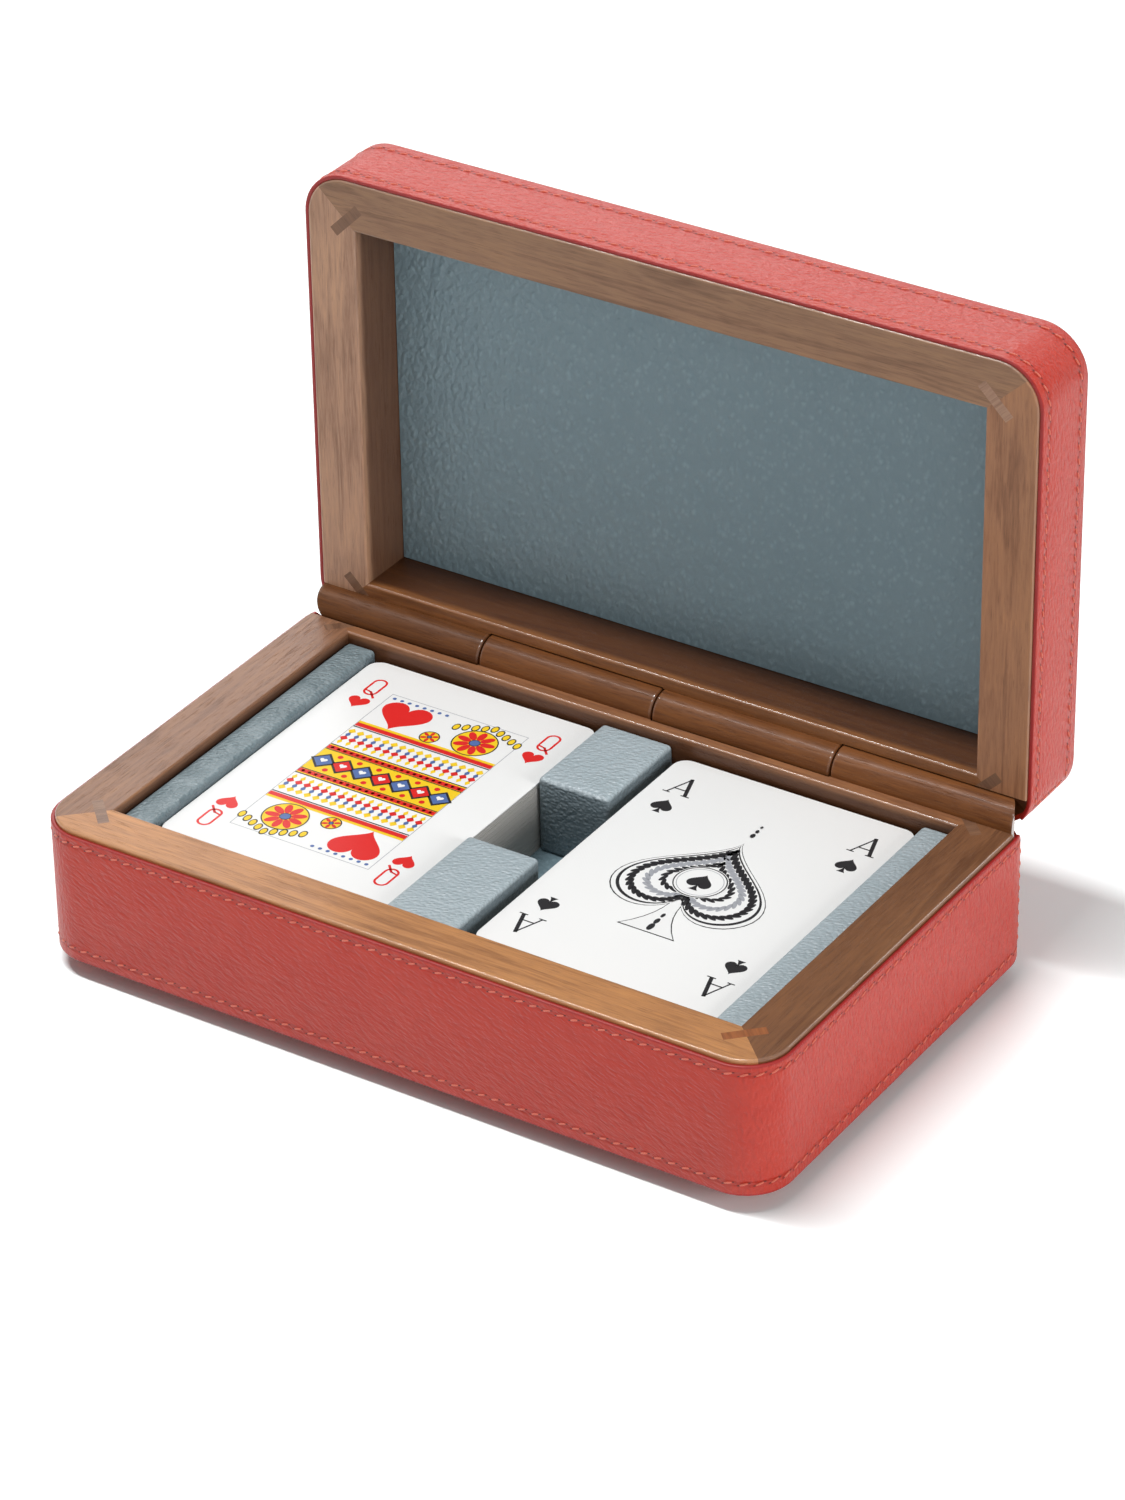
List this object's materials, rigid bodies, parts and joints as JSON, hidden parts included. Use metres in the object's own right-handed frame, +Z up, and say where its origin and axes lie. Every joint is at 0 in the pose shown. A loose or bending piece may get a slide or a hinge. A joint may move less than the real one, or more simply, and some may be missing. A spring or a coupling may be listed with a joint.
{
  "type": "playing card case",
  "caption": "Hinged walnut and leather case that holds playing cards, with a wooden barrel hinge, a finger gap between the card wells and a recessed lid.",
  "frame": {"origin": "on the surface the case stands on, below the middle of the open case's outline", "axes": "+X along the hinge to the right, +Y towards the hinge at the back, +Z up"},
  "size_m": [0.193, 0.1354, 0.1538],
  "materials": {
    "tray_long_rail_walnut": "satin walnut, grain along the case",
    "tray_side_rail_walnut": "satin walnut, grain across the case",
    "lid_long_rail_walnut": "satin walnut, grain along the case",
    "lid_side_rail_walnut": "satin walnut, grain up the lid",
    "barrel_walnut": "satin walnut, turned round",
    "key_wood": "satin wood, grain along the key",
    "inner_board": "unfinished board, hidden",
    "red_leather": "pebbled red leather, stitched tone on tone",
    "blue_grey_leather": "smooth blue-grey leather",
    "card_edges": "white coated card edges",
    "left_card_face": "white coated card, printed",
    "right_card_face": "white coated card, printed",
    "steel": "plain steel",
    "foot_rubber": "dark matt rubber"
  },
  "bodies": {
    "tray": {"back_block_core": "inner_board", "back_block_cover": "blue_grey_leather", "back_left_foot": "foot_rubber", "back_right_foot": "foot_rubber", "front_block_core": "inner_board", "front_block_cover": "blue_grey_leather", "front_left_foot": "foot_rubber", "front_right_foot": "foot_rubber", "left_strip_core": "inner_board", "left_strip_cover": "blue_grey_leather", "right_strip_core": "inner_board", "right_strip_cover": "blue_grey_leather", "tray_back_leather": "red_leather", "tray_back_left_key": "key_wood", "tray_back_rail": "tray_long_rail_walnut", "tray_back_right_key": "key_wood", "tray_board": "inner_board", "tray_floor_pad": "blue_grey_leather", "tray_front_left_key": "key_wood", "tray_front_rail": "tray_long_rail_walnut", "tray_front_right_key": "key_wood", "tray_leather_band": "red_leather", "tray_left_rail": "tray_side_rail_walnut", "tray_right_rail": "tray_side_rail_walnut", "tray_underside_leather": "red_leather", "hinge_knuckle_2": "barrel_walnut", "hinge_knuckle_4": "barrel_walnut", "hinge_pin": "steel"},
    "lid": {"lid_back_leather": "red_leather", "lid_back_left_key": "key_wood", "lid_back_rail": "lid_long_rail_walnut", "lid_back_right_key": "key_wood", "lid_board": "inner_board", "lid_front_left_key": "key_wood", "lid_front_rail": "lid_long_rail_walnut", "lid_front_right_key": "key_wood", "lid_leather_band": "red_leather", "lid_left_rail": "lid_side_rail_walnut", "lid_lining": "blue_grey_leather", "lid_right_rail": "lid_side_rail_walnut", "lid_top_leather": "red_leather", "hinge_knuckle_1": "barrel_walnut", "hinge_knuckle_3": "barrel_walnut"},
    "left_deck": {"left_card_stack": "card_edges", "left_top_card": "left_card_face"},
    "right_deck": {"right_card_stack": "card_edges", "right_top_card": "right_card_face"}
  },
  "joints": [
    {"name": "lid_hinge", "type": "hinge", "parent": "tray", "child": "lid", "pos_m": [0, 0.04705, 0.03905], "axis": [1, 0, 0], "range_deg": [0, 90]},
    {"name": "left_deck_lift", "type": "slide", "parent": "tray", "child": "left_deck", "axis": [0, 0, 1], "range_m": [0, 0.017]},
    {"name": "right_deck_lift", "type": "slide", "parent": "tray", "child": "right_deck", "axis": [0, 0, 1], "range_m": [0, 0.017]}
  ]
}
